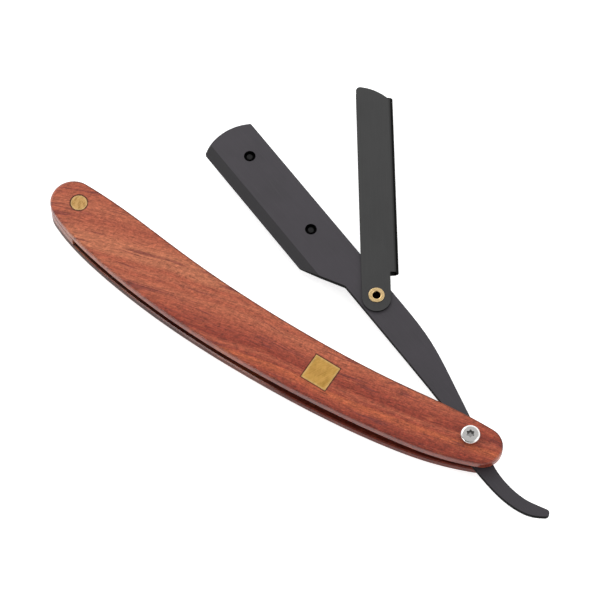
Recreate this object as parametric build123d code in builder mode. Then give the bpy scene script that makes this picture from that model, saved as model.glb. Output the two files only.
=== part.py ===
from build123d import *
from math import cos, radians, sin
import os

# Folding straight razor for replaceable blades, with a swing lock, shown open and empty.
# Origin on the pivot axis at the outer face of the back scale. +X runs from the butt pin
# to the pivot, +Y is the side the head stands on, +Z points to the front scale.

# Handle: two scales with a gap the arm folds into, the back one a little shorter at the nose
scale_t = 3.05
gap_t = 3.4
handle_t = 2 * scale_t + gap_t
mid_z = handle_t / 2
butt_c, butt_r = (-129.9, -0.4), 6.4
front_nose_c, back_nose_c, nose_r = (4.2, -0.35), (2.6, -0.2), 5.5
outer_round = 0.7
inner_break = 0.35

# Fittings of the handle
end_pin_at, end_pin_r, end_pin_joint = (-128.2, 0), 2.35, 0.05
spacer_end_x = -122.6
inlay_at, inlay_side, inlay_t, inlay_joint = (-43.8, -6.4), 7.7, 1.2, 0.05
barrel_r, barrel_fit = 1.5, 0.02
nut_head_r, nut_head_t, nut_sink = 3.2, 1.1, 0.2
screw_head_r, screw_head_t, screw_r = 2.75, 1.8, 1.0
washer_r, washer_play = 3.4, 0.04
pivot_play = 0.05

# Blade arm: tail, tang and a head made of two leaves
arm_t = 1.7
arm_low, arm_top = mid_z - arm_t / 2, mid_z + arm_t / 2
leaf_t = 0.78
slot_t = 0.12
head_dir = 160.05
rivet_x, rivet_y = -44.4, 22.8
spine_b, edge_b, tang_b = -4.24, 11.76, 4.98
tip_a, tip_bulge_a = 64.0, 66.35
shoulder_a, tang_corner_a = 19.5, 7.65
leaf_root_a, slot_root_a = -6.0, 17.0
bevel_w, bevel_drop = 2.9, 0.6
peg_a, peg_spacing, peg_b = 55.9, 28.65, 2.15
peg_r, peg_shank_r, peg_rise, peg_hole_r = 1.0, 0.7, 0.45, 1.65

# Swing lock: a strip folded into a channel that turns on a semi-tubular rivet
lock_dir = 124.3
sheet_t = 0.4
lock_in = arm_t + 0.3
ear_a, ear_r = -0.85, 4.0
fold_r = lock_in / 2 + sheet_t
fold_b = -6.4 + fold_r
fold_start, fold_end = 7.1, 61.8
rivet_r, rivet_bore_r, rivet_bore_t, flange_r, flange_t = 1.45, 1.1, 1.9, 2.2, 0.15
rivet_play = 0.05


def turned(angle, z):
    """Plane at height z with its origin on the lock's rivet and x along the given direction."""
    x_dir = (cos(radians(angle)), sin(radians(angle)), 0)
    return Plane(origin=(rivet_x, rivet_y, z), x_dir=x_dir, z_dir=(0, 0, 1))


def head_pt(a, b):
    """Point of the head: a from the rivet towards the tip, b from it towards the edge."""
    p = turned(head_dir, 0).from_local_coords((a, b, 0))
    return (p.X, p.Y)


# ---- Outline of the scales -------------------------------------------------------------
def scale_outline(nose_c):
    """Banana-shaped outline from the round butt to a nose rounded about the given centre."""
    with BuildSketch() as outline:
        with BuildLine():
            butt = CenterArc(butt_c, butt_r, 90, 155)
            nose = CenterArc(nose_c, nose_r, -67, 157)
            Spline(nose @ 1, (-25, 2.8), (-60.5, 1.35), (-95, 3.1), butt @ 0,
                   tangents=((-1, 0), (-1, 0)))
            Spline(butt @ 1, (-112, -11.95), (-61.7, -15.25), (-17.2, -11.55), nose @ 0,
                   tangents=(butt % 1, nose % 0))
        make_face()
    return outline.sketch


front_outline = scale_outline(front_nose_c)
back_outline = scale_outline(back_nose_c)

# ---- Back scale ------------------------------------------------------------------------
with BuildPart() as back_scale:
    with BuildSketch():
        add(back_outline)
    extrude(amount=scale_t)
    fillet(back_scale.faces().sort_by(Axis.Z)[0].edges(), radius=outer_round)
    chamfer(back_scale.faces().sort_by(Axis.Z)[-1].edges(), length=inner_break)
    with Locations(end_pin_at):
        Hole(end_pin_r + end_pin_joint)
    Hole(barrel_r + barrel_fit)
    with BuildSketch():
        Circle(nut_head_r + 0.1)
    extrude(amount=nut_sink + nut_head_t, mode=Mode.SUBTRACT)
back_scale.part.label = "back_scale"

# ---- Front scale, with the pocket of the square inlay --------------------------------------
with BuildPart() as front_scale:
    with BuildSketch(Plane.XY.offset(handle_t - scale_t)):
        add(front_outline)
    extrude(amount=scale_t)
    fillet(front_scale.faces().sort_by(Axis.Z)[-1].edges(), radius=outer_round)
    chamfer(front_scale.faces().sort_by(Axis.Z)[0].edges(), length=inner_break)
    with Locations((*end_pin_at, handle_t)):
        Hole(end_pin_r + end_pin_joint)
    with Locations((0, 0, handle_t)):
        Hole(barrel_r + barrel_fit)
    with BuildSketch(Plane.XY.offset(handle_t - inlay_t)):
        with Locations(inlay_at):
            Rectangle(inlay_side + 2 * inlay_joint, inlay_side + 2 * inlay_joint)
    extrude(amount=inlay_t, mode=Mode.SUBTRACT)
front_scale.part.label = "front_scale"

with BuildPart() as inlay_square:
    with BuildSketch(Plane.XY.offset(handle_t - inlay_t)):
        with Locations(inlay_at):
            Rectangle(inlay_side, inlay_side)
    extrude(amount=inlay_t)
inlay_square.part.label = "inlay_square"

# ---- Butt end: spacer between the scales and the pin that holds all three ---------------------
with BuildPart() as end_spacer:
    with BuildSketch(Plane.XY.offset(scale_t)):
        add(front_outline)
        with Locations((spacer_end_x, 0)):
            Rectangle(40, 40, rotation=-10, align=(Align.MAX, Align.CENTER), mode=Mode.INTERSECT)
    extrude(amount=gap_t)
    with Locations((*end_pin_at, scale_t + gap_t)):
        Hole(end_pin_r + end_pin_joint)
end_spacer.part.label = "end_spacer"

with BuildPart() as end_pin:
    with BuildSketch():
        with Locations(end_pin_at):
            Circle(end_pin_r)
    extrude(amount=handle_t)
    chamfer(end_pin.faces().sort_by(Axis.Z)[-1].edges(), length=0.1)
end_pin.part.label = "end_pin"

# ---- Pivot: sunk barrel nut, six-lobe pan screw and two washers --------------------------------
with BuildPart() as pivot_barrel_nut:
    with BuildSketch(Plane.XY.offset(nut_sink)):
        Circle(nut_head_r)
    extrude(amount=nut_head_t)
    chamfer(pivot_barrel_nut.faces().sort_by(Axis.Z)[0].edges(), length=0.2)
    with BuildSketch(Plane.XY.offset(nut_sink + nut_head_t)):
        Circle(barrel_r)
    extrude(amount=handle_t - 0.2 - nut_sink - nut_head_t)
    with BuildSketch(Plane.XY.offset(2.4)):
        Circle(screw_r + 0.02)
    extrude(amount=handle_t, mode=Mode.SUBTRACT)
    with BuildSketch(Plane.XY.offset(nut_sink)):
        Rectangle(2 * nut_head_r + 1, 0.9)
    extrude(amount=0.5, mode=Mode.SUBTRACT)
pivot_barrel_nut.part.label = "pivot_barrel_nut"

with BuildPart() as pivot_screw:
    with BuildSketch(Plane.XY.offset(handle_t)):
        Circle(screw_head_r)
    extrude(amount=screw_head_t)
    fillet(pivot_screw.faces().sort_by(Axis.Z)[-1].edges(), radius=0.9)
    with BuildSketch(Plane.XY.offset(3.0)):
        Circle(screw_r)
    extrude(amount=handle_t - 3.0)
    with BuildSketch(Plane.XY.offset(handle_t + screw_head_t)):
        Circle(0.9)
        with PolarLocations(0.9, 6):
            Circle(0.26)
    extrude(amount=-1.1, mode=Mode.SUBTRACT)
pivot_screw.part.label = "pivot_screw"

washer_t = (gap_t - arm_t) / 2 - washer_play
washers = {}
for name, z in (("back_washer", scale_t), ("front_washer", scale_t + gap_t - washer_t)):
    with BuildPart() as washer:
        with BuildSketch(Plane.XY.offset(z)):
            Circle(washer_r)
            Circle(barrel_r + barrel_fit, mode=Mode.SUBTRACT)
        extrude(amount=washer_t)
    washer.part.label = name
    washers[name] = washer.part

# ---- Outline of the blade arm: spine, tail, tang, shoulder, edge and rounded tip ---------------
with BuildSketch() as arm_shape:
    with BuildLine():
        spine = Line(head_pt(tip_a, spine_b), head_pt(-1.6, spine_b))
        upper = Spline(spine @ 1, (-25, 19.65), (-11.4, 11.3), (1.5, 2.75), (9.9, -2.8),
                       (16.6, -5.35), (21.9, -6.0), (27.6, -5.3), tangents=(spine % 1, (1, 0.12)))
        tail_end = ThreePointArc(upper @ 1, (28.95, -6.2), (28.4, -7.3))
        tang_low = Line((-24.8, 10.3), head_pt(tang_corner_a, tang_b))
        Spline(tail_end @ 1, (24.9, -9.0), (20.1, -9.5), (8.4, -6.9), (-3.6, -1.9), tang_low @ 0,
               tangents=((-1, -0.62), tang_low % 0))
        Polyline(tang_low @ 1, head_pt(shoulder_a, edge_b), head_pt(tip_a, edge_b))
        ThreePointArc(head_pt(tip_a, edge_b), head_pt(tip_bulge_a, (spine_b + edge_b) / 2),
                      head_pt(tip_a, spine_b))
    make_face()
    for corner, radius in ((head_pt(tip_a, edge_b), 0.9), (head_pt(tip_a, spine_b), 0.5),
                           (head_pt(shoulder_a, edge_b), 1.5), (head_pt(tang_corner_a, tang_b), 1.2)):
        fillet(arm_shape.vertices().sort_by_distance((*corner, 0))[0], radius=radius)

peg_at = [head_pt(peg_a - i * peg_spacing, peg_b) for i in range(2)]

# ---- Blade arm: the front leaf is one piece with the tang and the tail --------------------------
with BuildPart() as blade_arm:
    with BuildSketch(Plane.XY.offset(arm_low)):
        add(arm_shape.sketch)
    extrude(amount=arm_t)
    with BuildSketch(turned(head_dir, arm_low)):
        with Locations((leaf_root_a, 0)):
            Rectangle(90, 60, align=(Align.MIN, Align.CENTER))
    extrude(amount=leaf_t, mode=Mode.SUBTRACT)
    with BuildSketch(turned(head_dir, arm_low)):
        with Locations((slot_root_a, 0)):
            Rectangle(90, 60, align=(Align.MIN, Align.CENTER))
    extrude(amount=leaf_t + slot_t, mode=Mode.SUBTRACT)
    with BuildSketch(Plane(origin=(*head_pt(5, 0), 0), x_dir=turned(head_dir, 0).y_dir,
                           z_dir=turned(head_dir, 0).x_dir)):
        with BuildLine():
            Polyline((edge_b - bevel_w, arm_top), (edge_b + 0.2 * bevel_w, arm_top),
                     (edge_b + 0.2 * bevel_w, arm_top - 1.2 * bevel_drop), close=True)
        make_face()
    extrude(amount=70, mode=Mode.SUBTRACT)
    with Locations(*[(*p, arm_top) for p in peg_at]):
        Hole(peg_hole_r)
    with Locations((rivet_x, rivet_y, arm_top)):
        Hole(rivet_r + 0.01)
    with Locations((0, 0, arm_top)):
        Hole(barrel_r + pivot_play)
blade_arm.part.label = "blade_arm"

# ---- Back leaf of the head, held by the rivet, and its two blade pegs ---------------------------
with BuildPart() as back_leaf:
    with BuildSketch(Plane.XY.offset(arm_low)):
        add(arm_shape.sketch)
    extrude(amount=leaf_t)
    with BuildSketch(turned(head_dir, arm_low)):
        with Locations((leaf_root_a, 0)):
            Rectangle(90, 60, align=(Align.MIN, Align.CENTER))
    extrude(amount=leaf_t, mode=Mode.INTERSECT)
    with BuildSketch(Plane(origin=(*head_pt(5, 0), 0), x_dir=turned(head_dir, 0).y_dir,
                           z_dir=turned(head_dir, 0).x_dir)):
        with BuildLine():
            Polyline((edge_b - bevel_w, arm_low), (edge_b + 0.2 * bevel_w, arm_low),
                     (edge_b + 0.2 * bevel_w, arm_low + 1.2 * bevel_drop), close=True)
        make_face()
    extrude(amount=70, mode=Mode.SUBTRACT)
    with Locations(*[(*p, arm_top) for p in peg_at]):
        Hole(peg_shank_r)
    with Locations((rivet_x, rivet_y, arm_top)):
        Hole(rivet_r + 0.01)
back_leaf.part.label = "back_leaf"

pegs = {}
for name, at in zip(("peg_tip", "peg_heel"), peg_at):
    with BuildPart() as peg:
        with BuildSketch(Plane.XY.offset(arm_low)):
            with Locations(at):
                Circle(peg_shank_r)
        extrude(amount=leaf_t)
        with BuildSketch(Plane.XY.offset(arm_low + leaf_t)):
            with Locations(at):
                Circle(peg_r)
        extrude(amount=peg_rise)
        fillet(peg.faces().sort_by(Axis.Z)[-1].edges(), radius=0.35)
    peg.part.label = name
    pegs[name] = peg.part

# ---- Swing lock and its rivet ----------------------------------------------------------------------
with BuildPart() as swing_lock:
    for z in (mid_z - fold_r, mid_z + lock_in / 2):
        with BuildSketch(turned(lock_dir, z)) as lock_side:
            with BuildLine():
                ear = CenterArc((ear_a, 0), ear_r, 90, 180)
                Polyline(ear @ 1, (fold_start, -ear_r), (fold_start, fold_b), (fold_end, fold_b),
                         (fold_end, -4.8))
                end = ThreePointArc((fold_end, -4.8), (64.4, -0.8), (65.5, ear_r))
                Line(end @ 1, ear @ 0)
            make_face()
            fillet(lock_side.vertices().sort_by_distance((65.5, ear_r, 0))[0], radius=1.2)
            Circle(rivet_r + rivet_play, mode=Mode.SUBTRACT)
        extrude(amount=sheet_t)
    lock_plane = turned(lock_dir, mid_z)
    with BuildSketch(Plane(origin=lock_plane.from_local_coords((fold_start, fold_b, 0)),
                           x_dir=-lock_plane.y_dir, z_dir=lock_plane.x_dir)):
        Circle(fold_r)
        Circle(lock_in / 2, mode=Mode.SUBTRACT)
        Rectangle(4, 4, align=(Align.MIN, Align.CENTER), mode=Mode.INTERSECT)
    extrude(amount=fold_end - fold_start)
swing_lock.part.label = "swing_lock"

flange_low = mid_z - fold_r - rivet_play
flange_top = mid_z + fold_r + rivet_play
with BuildPart() as lock_rivet:
    with BuildSketch(Plane(origin=(rivet_x, rivet_y, 0), x_dir=(1, 0, 0), z_dir=(0, -1, 0))):
        with BuildLine():
            Polyline((0, flange_low - flange_t), (flange_r, flange_low - flange_t),
                     (flange_r, flange_low), (rivet_r, flange_low), (rivet_r, flange_top),
                     (flange_r, flange_top), (flange_r, flange_top + flange_t),
                     (rivet_bore_r, flange_top + flange_t), (rivet_bore_r, flange_top - rivet_bore_t),
                     (0, flange_top - rivet_bore_t), close=True)
        make_face()
    revolve(axis=Axis((rivet_x, rivet_y, 0), (0, 0, 1)))
    rims = lock_rivet.edges().filter_by(GeomType.CIRCLE).group_by(Axis.Z)
    fillet(rims[-1].sort_by(SortBy.RADIUS)[0], radius=0.3)
    fillet(rims[-1].sort_by(SortBy.RADIUS)[-1], radius=0.1)
    fillet(rims[0], radius=0.1)
lock_rivet.part.label = "lock_rivet"

# ---- Files ----------------------------------------------------------------------------------------
os.makedirs("parts", exist_ok=True)
for part in (back_scale.part, front_scale.part, inlay_square.part, end_spacer.part, end_pin.part,
             pivot_barrel_nut.part, pivot_screw.part, *washers.values(), blade_arm.part,
             back_leaf.part, *pegs.values(), swing_lock.part, lock_rivet.part):
    export_step(part, f"parts/{part.label}.step")
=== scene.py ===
"""Looks of a folding straight razor with a swing lock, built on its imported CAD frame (metres)."""
import math

import bpy
from mathutils import Matrix, Vector


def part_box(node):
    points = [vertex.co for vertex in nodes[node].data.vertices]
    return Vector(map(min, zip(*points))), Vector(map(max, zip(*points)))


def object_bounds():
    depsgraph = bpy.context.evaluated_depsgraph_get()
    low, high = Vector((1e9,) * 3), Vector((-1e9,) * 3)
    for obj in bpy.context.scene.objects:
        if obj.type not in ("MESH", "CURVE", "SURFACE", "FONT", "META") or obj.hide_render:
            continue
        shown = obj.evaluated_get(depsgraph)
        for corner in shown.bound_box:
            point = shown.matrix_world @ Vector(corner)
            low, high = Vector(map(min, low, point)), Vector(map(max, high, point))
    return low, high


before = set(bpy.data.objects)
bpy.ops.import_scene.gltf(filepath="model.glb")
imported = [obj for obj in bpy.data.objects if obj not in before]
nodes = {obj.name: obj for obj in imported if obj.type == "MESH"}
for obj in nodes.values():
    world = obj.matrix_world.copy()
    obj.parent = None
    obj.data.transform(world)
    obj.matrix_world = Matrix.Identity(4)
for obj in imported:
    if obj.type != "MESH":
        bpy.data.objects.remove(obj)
cad_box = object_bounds()
scene = bpy.context.scene
scene.view_settings.view_transform = "Standard"

MM = 0.001


# ---- Node graphs ----------------------------------------------------------------------------

class Nodes:
    """A small helper that builds a node graph in the given tree."""

    def __init__(self, tree):
        self.tree = tree

    def put(self, socket, value):
        """Sets an input socket to a constant, or links another node's output to it."""
        if isinstance(value, bpy.types.NodeSocket):
            self.tree.links.new(value, socket)
        else:
            socket.default_value = value

    def fill(self, node, inputs):
        for key, value in inputs.items():
            self.put(node.inputs[key.replace("_", " ")], value)

    def node(self, kind, **inputs):
        made = self.tree.nodes.new(kind)
        self.fill(made, inputs)
        return made

    def axes(self, source):
        return self.node("ShaderNodeSeparateXYZ", Vector=source).outputs

    def curve(self, value, low, high, out_low=0.0, out_high=1.0, smooth=True):
        """Goes from out_low to out_high as the value goes from low to high, level outside that."""
        made = self.node("ShaderNodeMapRange", Value=value)
        made.interpolation_type = "SMOOTHSTEP" if smooth else "LINEAR"
        self.fill(made, {"From Min": low, "From Max": high, "To Min": out_low, "To Max": out_high})
        return made.outputs[0]

    def math(self, operation, a, b=0.0):
        made = self.tree.nodes.new("ShaderNodeMath")
        made.operation = operation
        self.put(made.inputs[0], a)
        self.put(made.inputs[1], b)
        return made.outputs[0]

    def less(self, value, mask, amount):
        """The value, lowered by this share of itself where the mask is 1."""
        kept = self.math("SUBTRACT", 1.0, self.math("MULTIPLY", mask, amount))
        return self.math("MULTIPLY", value, kept)


class Graph(Nodes):
    """One material's node graph, in the coordinates of the piece it covers."""

    def __init__(self, name):
        self.material = bpy.data.materials.new(name)
        self.material.use_nodes = True
        super().__init__(self.material.node_tree)
        self.shader = self.tree.nodes["Principled BSDF"]
        coordinates = self.node("ShaderNodeTexCoord").outputs
        self.place = coordinates["Object"]
        self.x, self.y, self.z = self.axes(self.place)
        _, self.normal_y, self.normal_z = self.axes(coordinates["Normal"])
        self.level = self.math("ABSOLUTE", self.normal_z)

    def set(self, **inputs):
        self.fill(self.shader, inputs)

    def turned(self, angle):
        return self.node("ShaderNodeMapping", Vector=self.place,
                         Rotation=(0, 0, math.radians(-angle))).outputs[0]

    def noise(self, source, sizes_mm, detail=3.0, roughness=0.55, distortion=0.0, shift=(0, 0, 0)):
        scaled = self.node("ShaderNodeMapping", Vector=source, Location=shift,
                           Scale=tuple(1 / (size * MM) for size in sizes_mm)).outputs[0]
        return self.node("ShaderNodeTexNoise", Vector=scaled, Scale=1.0, Detail=detail,
                         Roughness=roughness, Distortion=distortion).outputs["Fac"]

    def mix(self, factor, a, b):
        made = self.tree.nodes.new("ShaderNodeMix")
        made.data_type = "RGBA"
        self.put(made.inputs[0], factor)
        for socket, colour in ((made.inputs[6], a), (made.inputs[7], b)):
            self.put(socket, (*colour, 1.0) if isinstance(colour, tuple) else colour)
        return made.outputs[2]

    def ramp(self, value, stops):
        """Colour ramp through (position, colour) stops."""
        made = self.node("ShaderNodeValToRGB", Fac=value)
        elements = made.color_ramp.elements
        while len(elements) < len(stops):
            elements.new(1.0)
        for element, (position, colour) in zip(elements, stops):
            element.position = position
            element.color = (*colour, 1.0)
        return made.outputs[0]

    def times(self, colour, value):
        made = self.tree.nodes.new("ShaderNodeVectorMath")
        made.operation = "SCALE"
        self.put(made.inputs[0], colour)
        self.put(made.inputs["Scale"], value)
        return made.outputs[0]

    def from_axis(self, node, square=False):
        """Distance from a CAD node's upright axis; with square, the larger of its x and y parts."""
        (x0, y0, _), (x1, y1, _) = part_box(node)
        dx = self.math("SUBTRACT", self.x, (x0 + x1) / 2)
        dy = self.math("SUBTRACT", self.y, (y0 + y1) / 2)
        if square:
            return self.math("MAXIMUM", self.math("ABSOLUTE", dx), self.math("ABSOLUTE", dy))
        squares = self.math("ADD", self.math("MULTIPLY", dx, dx), self.math("MULTIPLY", dy, dy))
        return self.math("SQRT", squares)

    def bump(self, height, depth_mm, strength, normal=None):
        made = self.node("ShaderNodeBump", Height=height, Strength=strength, Distance=depth_mm * MM)
        if normal:
            self.put(made.inputs["Normal"], normal)
        return made.outputs[0]


def half_width(node):
    (x0, _, _), (x1, _, _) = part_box(node)
    return (x1 - x0) / 2


def scaled_colour(colour, *factors):
    """The colour times one factor, or times a factor for each channel."""
    return tuple(c * f for c, f in zip(colour, factors if len(factors) > 1 else factors * 3))


# ---- Wood -------------------------------------------------------------------------------------

TONES = {
    "wine": (0.205, 0.031, 0.016),
    "brick": (0.262, 0.048, 0.025),
    "russet": (0.322, 0.075, 0.038),
    "salmon": (0.368, 0.101, 0.051),
    "peach": (0.400, 0.126, 0.063),
    "amber": (0.385, 0.089, 0.035),
}
DARK_STREAK = (0.125, 0.020, 0.016)
BRIGHT_STREAK = (0.45, 0.125, 0.055)
GROWTH_LINE = (0.150, 0.030, 0.024)

# The figure: millimetres across the grain from the pivot, and the tone there
FIGURE = ((-7.0, "wine"), (-5.6, "brick"), (-3.4, "amber"), (-2.3, "brick"), (-1.4, "russet"),
          (-0.1, "wine"), (2.0, "brick"), (5.0, "russet"), (7.3, "salmon"), (9.0, "russet"),
          (10.3, "salmon"), (12.0, "russet"), (13.7, "peach"), (17.0, "peach"), (19.0, "salmon"),
          (22.0, "russet"), (26.0, "salmon"), (30.0, "russet"))
FIGURE_LOW, FIGURE_HIGH = -8.0, 31.0

# The grain rises along the handle: slope at its flattest place, and how fast it steepens from there
GRAIN_SLOPE, GRAIN_BEND, GRAIN_FLATTEST_X = 0.164, 8.8, -42 * MM
GRAIN_WANDER = 1.0 * MM

# Along the handle, the painted shade on the edges and in the gap changes from near its butt to near
# the pivot
NEAR_BUTT, NEAR_PIVOT = -115 * MM, -10 * MM

# Lacquer on the flat faces
FACE_COAT = 0.35


def joint_line(g, node, square):
    """1 in the dark line round a fitting in the wood, 0 away from it."""
    half = half_width(node)
    return g.curve(g.from_axis(node, square), half + 0.10 * MM, half + 0.50 * MM, 1.0, 0.0)


def grain_flow(g, shift):
    """Coordinates that follow the grain, which also wanders a little sideways along the board."""
    from_flattest = g.math("SUBTRACT", g.x, GRAIN_FLATTEST_X)
    cube = g.math("MULTIPLY", g.math("MULTIPLY", from_flattest, from_flattest), from_flattest)
    rise = g.math("ADD", g.math("MULTIPLY", g.x, GRAIN_SLOPE), g.math("MULTIPLY", cube, GRAIN_BEND))
    wander = g.noise(g.place, (26, 20, 30), detail=1.0, shift=shift)
    rise = g.math("ADD", rise,
                  g.curve(wander, 0.25, 0.75, -GRAIN_WANDER, GRAIN_WANDER, smooth=False))
    return g.node("ShaderNodeCombineXYZ", X=g.x, Y=g.math("SUBTRACT", g.y, rise), Z=g.z).outputs[0]


def wood_material(name, inner_side=0.0, shift=(0.0, 0.0, 0.0), shade=1.0, shaded_wall=(0.7, 0.7),
                  edge_coat=0.40, specular=0.12, fittings=()):
    """Lacquered red hardwood: figure, streaks, fibres and open pores along one board's grain.

    inner_side is +1 or -1 where the face towards +Z or -Z lies in the gap, bare and given painted
    shade.
    shaded_wall is how light the painted shade leaves the sawn edge beside the face, near the butt
    and near the pivot.
    edge_coat is the extra lacquer on the rounding, and the most that the sawn edge has.
    fittings are the nodes let into the wood, each with whether it is square.
    """
    g = Graph(name)
    flow = grain_flow(g, shift)
    across = g.curve(g.axes(flow)[1], FIGURE_LOW * MM, FIGURE_HIGH * MM, smooth=False)
    colour = g.ramp(across, [((at - FIGURE_LOW) / (FIGURE_HIGH - FIGURE_LOW), TONES[tone])
                             for at, tone in FIGURE])

    # streaks, busier towards the pivot
    busy = g.curve(g.x, -110 * MM, -20 * MM, 0.45, 0.80)
    streaks = g.noise(flow, (8, 0.95, 1.3), detail=4.0, roughness=0.66, distortion=0.3, shift=shift)
    dark = g.math("MULTIPLY", g.curve(streaks, 0.50, 0.72, 0.0, 0.62), busy)
    colour = g.mix(dark, colour, DARK_STREAK)
    bright = g.noise(flow, (5.5, 0.8, 1.1), detail=3.0, roughness=0.62, distortion=0.3,
                     shift=(4.4, 9.1, 2.0))
    bright = g.math("MULTIPLY", g.curve(bright, 0.54, 0.74, 0.0, 0.55), busy)
    colour = g.mix(bright, colour, BRIGHT_STREAK)

    # thin dark growth lines that come and go
    rings = g.noise(flow, (48, 2.0, 20), detail=1.0, roughness=0.4, shift=shift)
    ridge = g.curve(g.math("ABSOLUTE", g.math("SUBTRACT", rings, 0.5)), 0.0, 0.030, 1.0, 0.0)
    present = g.noise(flow, (12, 4.0, 9.0), detail=1.0, shift=(7.7, 2.5, 4.0))
    ridge = g.math("MULTIPLY", ridge, g.curve(present, 0.40, 0.56, 0.0, 0.80))
    colour = g.mix(ridge, colour, GROWTH_LINE)

    # fibres, flecks, ripple and pores change how light the wood is
    fibres = g.noise(flow, (2.6, 0.42, 0.5), detail=3.0, roughness=0.72, shift=shift)
    flecks = g.noise(flow, (0.5, 0.22, 0.3), detail=1.0, roughness=0.5, shift=(1.5, 6.2, 8.0))
    ripple = g.noise(flow, (0.8, 1.1, 1.5), detail=3.0, roughness=0.7, shift=shift)
    pores = g.noise(flow, (1.2, 0.24, 0.3), detail=1.0, roughness=0.5, shift=shift)
    pore = g.curve(pores, 0.60, 0.72)
    value = g.curve(fibres, 0.28, 0.72, 0.58 * shade, 1.42 * shade, smooth=False)
    fleck_tone = g.math("MULTIPLY", g.math("SUBTRACT", flecks, 0.5), g.math("MULTIPLY", busy, 1.2))
    value = g.math("MULTIPLY", value, g.math("ADD", fleck_tone, 1.0))
    value = g.math("MULTIPLY", value, g.curve(ripple, 0.3, 0.7, 0.82, 1.18))
    value = g.less(value, pore, 0.42)

    # and painted shade, by where the surface faces: sawn edge, gap, rounding, and the back (+Y)
    sawn = g.curve(g.level, 0.10, 0.70, 1.0, 0.0)
    rounding = g.math("MULTIPLY", g.curve(g.level, 0.20, 0.45),
                      g.curve(g.level, 0.85, 0.96, 1.0, 0.0))
    bare_shaded_inner = g.curve(g.math("MULTIPLY", g.normal_z, inner_side), 0.60, 0.95)
    dull_shaded_back = g.curve(g.normal_y, 0.05, 0.50)
    # painted shade on the sawn edge
    value = g.less(value, sawn, g.curve(g.x, NEAR_BUTT, NEAR_PIVOT, 1.0 - shaded_wall[0], 1.0 - shaded_wall[1]))
    # painted shade in the gap, deeper near the butt than near the pivot
    value = g.less(value, bare_shaded_inner, g.curve(g.x, NEAR_BUTT, NEAR_PIVOT, 0.75, 0.35))
    # painted shade on the rounding
    value = g.less(value, rounding, 0.15)
    # painted shade along the back of the handle, the side towards +Y
    value = g.less(value, dull_shaded_back, 0.55)
    for node, square in fittings:
        value = g.less(value, joint_line(g, node, square), 0.75)
    colour = g.times(colour, value)

    # the lacquer is thick and clear on the rounded edges, thin on the faces, and absent, leaving
    # the wood rougher, inside and along the back of the handle (+Y), where the colour also has
    # painted shade
    face_coat = g.curve(g.level, 0.10, 0.70, min(edge_coat, FACE_COAT), FACE_COAT)
    lacquer = g.math("SUBTRACT", g.math("ADD", face_coat, g.math("MULTIPLY", rounding, edge_coat)),
                     g.math("MULTIPLY", bare_shaded_inner, FACE_COAT))
    lacquer = g.less(lacquer, dull_shaded_back, 1.0)
    bareness = g.math("MULTIPLY", g.math("MAXIMUM", bare_shaded_inner, dull_shaded_back), 0.35)
    rough = g.math("ADD", g.curve(streaks, 0.3, 0.7, 0.40, 0.52), bareness)
    fibre_bump = g.bump(fibres, 0.012, 0.4)
    g.set(Base_Color=colour, Roughness=rough, Specular_IOR_Level=specular, Coat_Weight=lacquer,
          Coat_Roughness=0.12, Coat_IOR=1.5,
          Normal=g.bump(g.math("SUBTRACT", 1.0, pore), 0.025, 0.4, normal=fibre_bump))
    return g.material


# ---- Metals -----------------------------------------------------------------------------------

SHADE_BLACK = (0.005, 0.005, 0.005)
BORE_SHADE = (0.016, 0.007, 0.004)
BRASS_RIM_HIGHLIGHT = (0.90, 0.70, 0.36)


def black_material(name, base, rough, along, violet=0.0, hidden_side=0.0, edge=(0.30, 0.80),
                   ior=1.45):
    """Satin black coating on steel: fine grain, faint drawing lines, cut edges near-black by
    painted shade.

    hidden_side is +1 or -1 where the face towards +Z or -Z lies inside the head and gets painted
    shade.
    edge is how level a surface is where it counts as an edge with painted shade and where it counts
    as a face.
    """
    g = Graph(name)
    lines = g.noise(g.turned(along), (9.0, 0.14, 0.5), detail=2.0)
    grain = g.noise(g.place, (0.16, 0.16, 0.16), detail=2.0)
    cloud = g.noise(g.place, (11.0, 11.0, 11.0), detail=2.0)
    tint = (base * (1.0 + violet), base * (1.0 - 0.4 * violet), base * (1.0 + 1.6 * violet))
    colour = g.mix(g.curve(cloud, 0.3, 0.7, 0.0, 0.5), tint, scaled_colour(tint, 0.62))
    colour = g.mix(g.curve(lines, 0.4, 0.8, 0.0, 0.4), colour, scaled_colour(tint, 1.4))

    # the ground bevel: rougher, and darker as painted shade
    ground_bevel_shade = g.curve(g.level, 0.984, 0.997, 1.0, 0.0)
    cut = g.curve(g.level, *edge, 1.0, 0.0)
    arm_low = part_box("blade_arm")[0][2]
    shaded_inside = g.math("MULTIPLY", g.curve(g.math("MULTIPLY", g.normal_z, hidden_side), 0.5, 0.9),
                    g.curve(g.z, arm_low + 0.2 * MM, arm_low + 0.4 * MM))
    # painted shade: cut edges and faces inside the head go near-black, as colourless metal that
    # reflects almost nothing
    dark = g.math("MAXIMUM", cut, shaded_inside)
    colour = g.mix(ground_bevel_shade, colour, scaled_colour(tint, 0.35))
    colour = g.mix(dark, colour, SHADE_BLACK)

    satin = g.math("ADD", g.curve(grain, 0.3, 0.7, rough - 0.05, rough + 0.06),
                   g.curve(cloud, 0.35, 0.65, -0.04, 0.04))
    satin = g.math("ADD", satin,
                   g.math("ADD", g.math("MULTIPLY", ground_bevel_shade, 0.12), g.math("MULTIPLY", dark, 0.25)))
    g.set(Base_Color=colour, Metallic=dark, Roughness=satin, IOR=ior,
          Normal=g.bump(grain, 0.004, 0.35, normal=g.bump(lines, 0.003, 0.3)))
    return g.material


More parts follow.
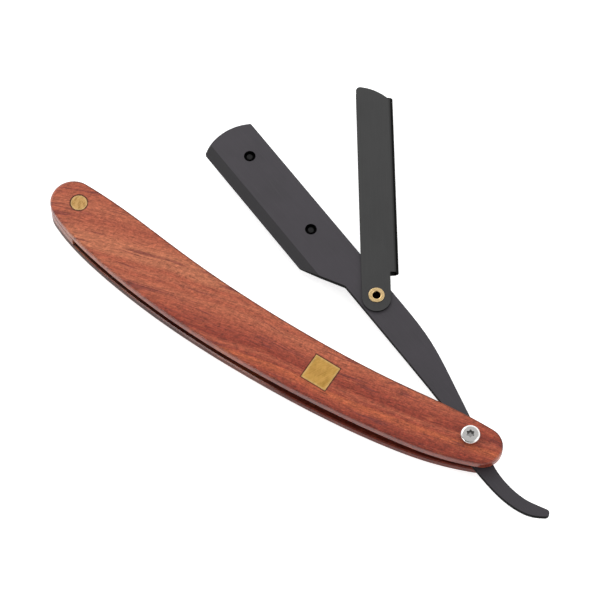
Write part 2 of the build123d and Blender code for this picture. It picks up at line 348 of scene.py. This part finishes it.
def brass_material(name, node, base, rough, angle, lines_mm, mottle=0.6, patch_mm=2.2, square=False,
                   rim=0.2, bore_mm=0.0):
    """Brass finished with fine abrasive lines one way, tarnished in patches, with a painted
    highlight at its rim.

    bore_mm is the radius of a bore down the middle; everything within it that lies lower than just
    under the top gets painted shade.
    """
    g = Graph(name)
    lines = g.noise(g.turned(angle), (5.0, lines_mm, 1.0), detail=3.0)
    scratches = g.noise(g.turned(angle - 25), (4.0, 0.22, 1.0), detail=1.0, shift=(3.0, 1.0, 0.0))
    stain = g.noise(g.turned(angle + 35), (patch_mm, 0.55 * patch_mm, patch_mm), detail=3.0)
    tarnish = scaled_colour(base, 0.66, 0.62, 0.50)
    colour = g.mix(g.curve(stain, 0.42, 0.66, 0.0, mottle), base, tarnish)
    colour = g.mix(g.curve(lines, 0.38, 0.72, 0.0, 0.5), colour,
                   scaled_colour(base, 1.25, 1.25, 1.7))
    colour = g.mix(g.curve(scratches, 0.60, 0.72, 0.0, 0.35), colour, tarnish)
    if rim:
        # painted highlight round the edge
        half = half_width(node)
        edge = g.curve(g.from_axis(node, square), half - 0.7 * MM, half - 0.1 * MM)
        colour = g.mix(g.math("MULTIPLY", edge, rim), colour, BRASS_RIM_HIGHLIGHT)
    rough_map = g.curve(lines, 0.3, 0.7, rough - 0.07, rough + 0.09)
    if bore_mm:
        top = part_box(node)[1][2]
        # painted shade in the bore
        inside = g.curve(g.from_axis(node), (bore_mm + 0.02) * MM, (bore_mm + 0.14) * MM, 1.0, 0.0)
        below = g.curve(g.z, top - 0.35 * MM, top - 0.10 * MM, 1.0, 0.0)
        bore_shade_mask = g.math("MULTIPLY", inside, below)
        colour = g.mix(bore_shade_mask, colour, BORE_SHADE)
        rough_map = g.math("MAXIMUM", rough_map, g.math("MULTIPLY", bore_shade_mask, 0.8))
    g.set(Base_Color=colour, Metallic=1.0, Roughness=rough_map, Normal=g.bump(lines, 0.006, 0.5))
    return g.material


def steel_material(name, node, base, rough, recess_mm=0.0):
    """Bright plated steel with fine turning marks round its own axis.

    recess_mm is the outer radius of a driver recess in the top, given painted shade that is deepest
    on its walls.
    """
    g = Graph(name)
    radius = g.from_axis(node)
    rings_per_metre = 9000.0
    outwards = g.node("ShaderNodeCombineXYZ", X=g.math("MULTIPLY", radius, rings_per_metre))
    rings = g.node("ShaderNodeTexNoise", Vector=outwards.outputs[0], Scale=1.0, Detail=2.0)
    spots = g.noise(g.place, (0.7, 0.7, 0.7), detail=2.0)
    colour = g.mix(g.curve(spots, 0.4, 0.7, 0.0, 0.25), base, scaled_colour(base, 0.82))
    if recess_mm:
        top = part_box(node)[1][2]
        # painted shade in the driver recess: deepest on its walls, less on its floor
        inside = g.curve(radius, recess_mm * MM, (recess_mm + 0.05) * MM, 1.0, 0.0)
        below = g.curve(g.z, top - 0.20 * MM, top - 0.05 * MM, 1.0, 0.0)
        recess_shade = g.times(colour, g.curve(g.z, top - 1.05 * MM, top - 0.90 * MM, 0.62, 0.06))
        colour = g.mix(g.math("MULTIPLY", inside, below), colour, recess_shade)
    g.set(Base_Color=colour, Metallic=1.0, Normal=g.bump(rings.outputs["Fac"], 0.003, 0.4),
          Roughness=g.curve(spots, 0.3, 0.7, rough - 0.03, rough + 0.06))
    return g.material


# ---- Materials on the CAD pieces ---------------------------------------------------------------

HEAD_ANGLE, LOCK_ANGLE = -20.0, 124.3
WASHER_BRASS = (0.55, 0.36, 0.14)

looks = {
    "front_scale": wood_material("wood_front", inner_side=-1.0, shade=1.08,
                                 fittings=(("end_pin", False), ("inlay_square", True))),
    # back board: tone lowered overall, partly a darker board and partly painted shade for its dim
    # side; its sawn edge has deep painted shade near the butt
    "back_scale": wood_material("wood_back", inner_side=1.0, shift=(3.1, 7.7, 2.3), shade=0.75,
                                shaded_wall=(0.15, 0.70), edge_coat=0.20, specular=0.04,
                                fittings=(("end_pin", False),)),
    "end_spacer": wood_material("wood_spacer", shift=(8.2, 1.4, 5.9), shade=0.8),
    "end_pin": brass_material("brass_pin", "end_pin", (0.49, 0.295, 0.105), 0.36, 80.0, 0.16,
                              mottle=1.0, patch_mm=1.4),
    "inlay_square": brass_material("brass_inlay", "inlay_square", (0.52, 0.30, 0.075), 0.40, 62.0,
                                   0.20, square=True),
    "pivot_screw": steel_material("steel_screw", "pivot_screw", (0.60, 0.59, 0.575), 0.16,
                                  recess_mm=1.2),
    "pivot_barrel_nut": steel_material("steel_nut", "pivot_barrel_nut", (0.60, 0.61, 0.62), 0.26),
    "front_washer": brass_material("brass_washer_front", "front_washer", WASHER_BRASS, 0.34, 15.0,
                                   0.12, rim=0.0),
    "back_washer": brass_material("brass_washer_back", "back_washer", WASHER_BRASS, 0.34, 40.0,
                                  0.12, rim=0.0),
    "blade_arm": black_material("black_arm", 0.030, 0.44, HEAD_ANGLE, violet=0.11,
                                hidden_side=-1.0),
    "back_leaf": black_material("black_leaf", 0.029, 0.45, HEAD_ANGLE, violet=0.11,
                                hidden_side=1.0),
    # the pegs are a darker black than the arm as painted shade for their place in the holes
    "peg_tip": black_material("black_peg_tip", 0.014, 0.28, 0.0, ior=1.22),
    "peg_heel": black_material("black_peg_heel", 0.014, 0.28, 0.0, ior=1.22),
    "swing_lock": black_material("black_lock", 0.024, 0.46, LOCK_ANGLE, edge=(0.80, 0.985)),
    "lock_rivet": brass_material("brass_rivet", "lock_rivet", (0.68, 0.485, 0.225), 0.26, 0.0, 0.10,
                                 mottle=0.2, bore_mm=1.1),
}
for name, material in looks.items():
    mesh = nodes[name].data
    mesh.materials.clear()
    mesh.materials.append(material)

# ---- Floor ------------------------------------------------------------------------------------

FLOOR_HALF = 4.0
low, high = cad_box
middle = (Vector(low) + Vector(high)) / 2

floor_mesh = bpy.data.meshes.new("floor")
floor_mesh.from_pydata([(-FLOOR_HALF, -FLOOR_HALF, 0), (FLOOR_HALF, -FLOOR_HALF, 0),
                        (FLOOR_HALF, FLOOR_HALF, 0), (-FLOOR_HALF, FLOOR_HALF, 0)],
                       [], [(0, 1, 2, 3)])
floor = bpy.data.objects.new("floor", floor_mesh)
floor.location = (middle.x, middle.y, low[2] - 0.02 * MM)
scene.collection.objects.link(floor)
paper = Graph("pale_paper")
tone = paper.noise(paper.place, (60, 60, 60), detail=2.0)
paper.set(Base_Color=paper.mix(paper.curve(tone, 0.3, 0.7), (0.72, 0.72, 0.72), (0.70, 0.70, 0.70)),
          Roughness=0.9, IOR=1.3, Emission_Color=(1.0, 1.0, 1.0, 1.0), Emission_Strength=0.70)
floor_mesh.materials.append(paper.material)

# ---- Soft studio light: bright horizon, calmer overhead, dim on the belly side -------------------

HORIZON, OVERHEAD, BELLY_DIMMING = 2.1, 0.75, 0.85

world = bpy.data.worlds.new("studio")
world.use_nodes = True
sky = Nodes(world.node_tree)
_, towards_y, towards_z = sky.axes(sky.node("ShaderNodeTexCoord").outputs["Generated"])
glow = sky.curve(towards_z, 0.0, 1.0, HORIZON, OVERHEAD)
belly_side = sky.curve(towards_y, -0.15, -0.6)
band = sky.math("MULTIPLY", sky.curve(towards_z, 0.02, 0.12),
                sky.curve(towards_z, 0.62, 0.84, 1.0, 0.0))
glow = sky.less(glow, sky.math("MULTIPLY", belly_side, band), BELLY_DIMMING)
sky.fill(sky.tree.nodes["Background"], {"Strength": glow, "Color": (1.0, 1.0, 1.0, 1.0)})
scene.world = world


def softbox(name, offset, size, power):
    """A rectangular soft light aimed at the middle of the razor."""
    lamp = bpy.data.lights.new(name, "AREA")
    lamp.shape = "RECTANGLE"
    lamp.size, lamp.size_y = size
    lamp.energy = power
    box = bpy.data.objects.new(name, lamp)
    box.location = middle + Vector(offset)
    box.rotation_euler = (-Vector(offset)).to_track_quat("-Z", "Y").to_euler()
    scene.collection.objects.link(box)


softbox("key", (-0.80, 0.35, 0.62), (0.6, 0.6), 3.4)
softbox("tail_side", (0.75, 0.15, 0.6), (0.5, 0.5), 1.0)
softbox("belly_strip", (-0.42, -0.76, 0.29), (0.55, 0.10), 1.2)

# ---- Camera: looks down at 65 degrees from the belly side ----------------------------------------

azimuth, elevation, distance = math.radians(33.21), math.radians(65.0), 0.888
back = Vector((math.sin(azimuth) * math.cos(elevation), -math.cos(azimuth) * math.cos(elevation),
               math.sin(elevation)))
target = Vector((-0.0628, 0.0124, low[2]))
lens = bpy.data.cameras.new("camera")
lens.lens, lens.sensor_width = 192.0, 36.0
lens.clip_start, lens.clip_end = 0.01, 20.0
camera = bpy.data.objects.new("camera", lens)
facing = back.to_track_quat("Z", "Y").to_matrix().to_4x4()
camera.matrix_world = Matrix.Translation(target + distance * back) @ facing
scene.collection.objects.link(camera)
scene.camera = camera
